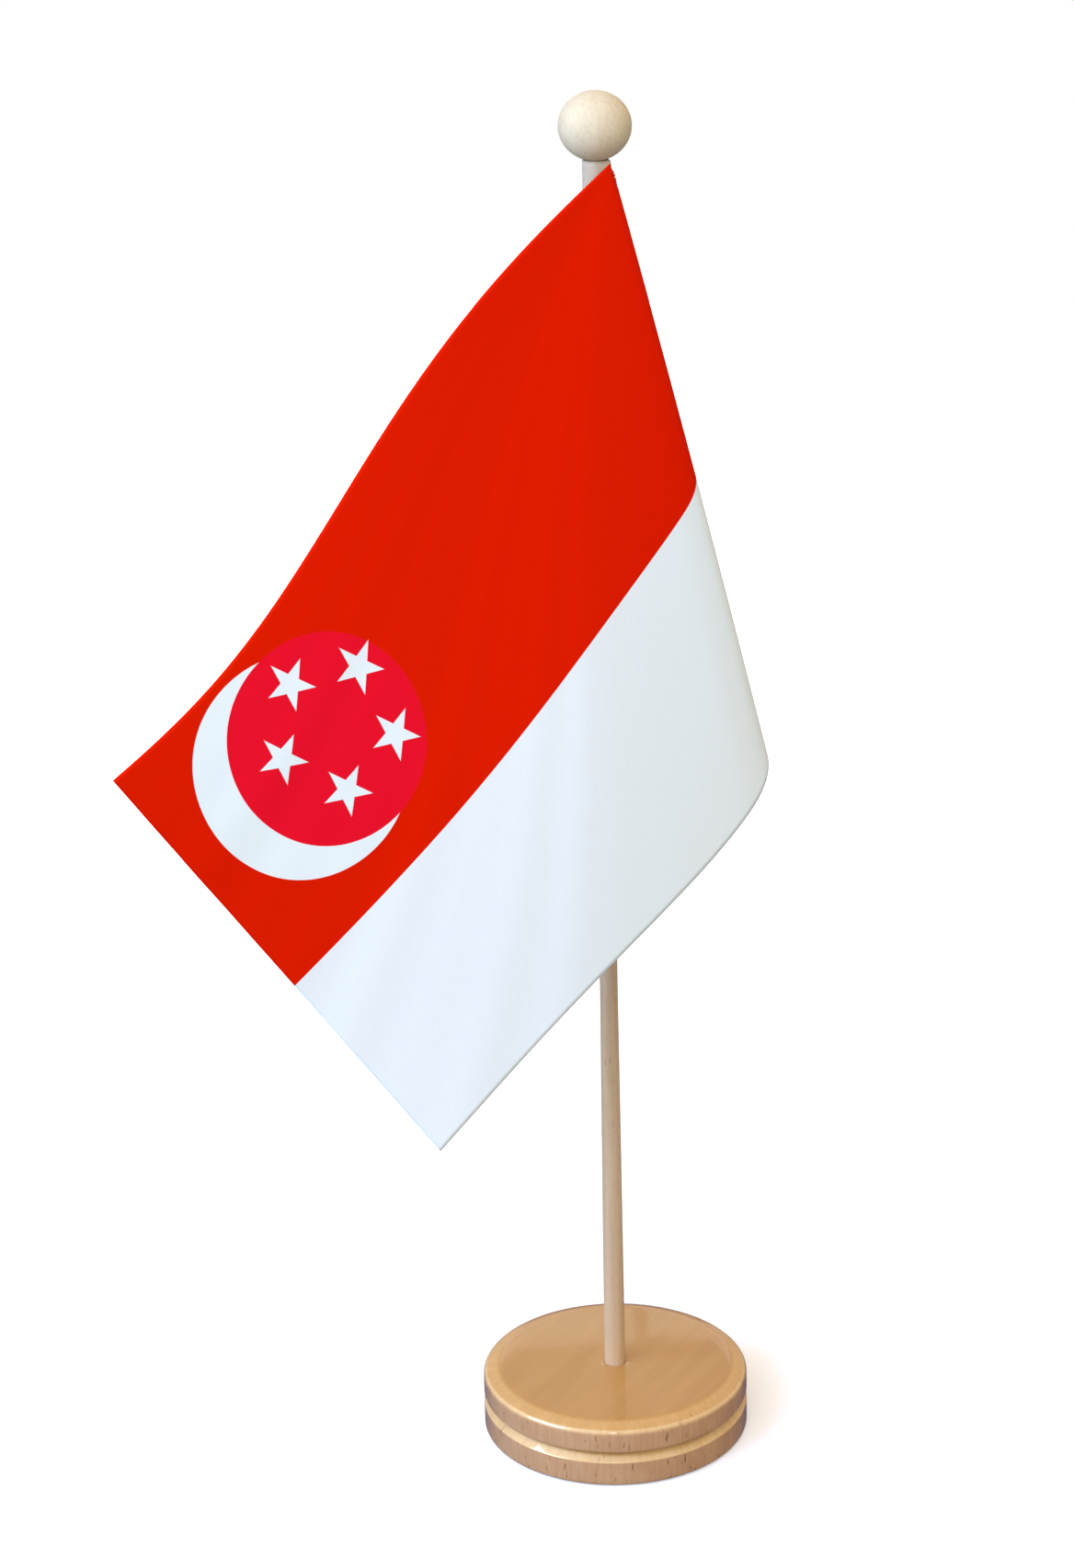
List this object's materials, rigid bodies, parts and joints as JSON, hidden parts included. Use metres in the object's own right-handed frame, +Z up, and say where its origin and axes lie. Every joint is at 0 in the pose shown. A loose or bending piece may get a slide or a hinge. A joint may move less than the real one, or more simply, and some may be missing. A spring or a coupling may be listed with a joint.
{
  "type": "desk flag stand",
  "caption": "Small hanging flag on a slim wooden pole with a ball top, standing in a round wooden base; the flag turns on the pole and the pole lifts out.",
  "frame": {"origin": "centre of the underside, where the felt pad rests on the desk", "axes": "+Z up along the pole; the flag drapes towards -X and in front of the pole, towards -Y"},
  "size_m": [0.1728, 0.1487, 0.4061],
  "materials": {
    "lacquered_wood": "honey-coloured beech under satin lacquer",
    "felt": "dark wool felt",
    "pole_wood": "sanded beech, thin matt varnish",
    "pale_wood": "bare sanded beech",
    "sleeve_cloth": "unprinted satin, sewn into a pocket",
    "printed_satin": "printed polyester satin, soft sheen"
  },
  "bodies": {
    "base": {"base_disc": "lacquered_wood", "base_felt": "felt"},
    "pole": {"pole_dowel": "pole_wood", "ball_finial": "pale_wood"},
    "flag": {"flag_sleeve": "sleeve_cloth", "flag_cloth": "printed_satin"}
  },
  "joints": [
    {"name": "pole_pull", "type": "slide", "parent": "base", "child": "pole", "axis": [0, 0, 1], "range_m": [0, 0.03]},
    {"name": "flag_swivel", "type": "hinge", "parent": "pole", "child": "flag", "pos_m": [0, 0, 0.315], "axis": [0, 0, 1], "continuous": true}
  ]
}
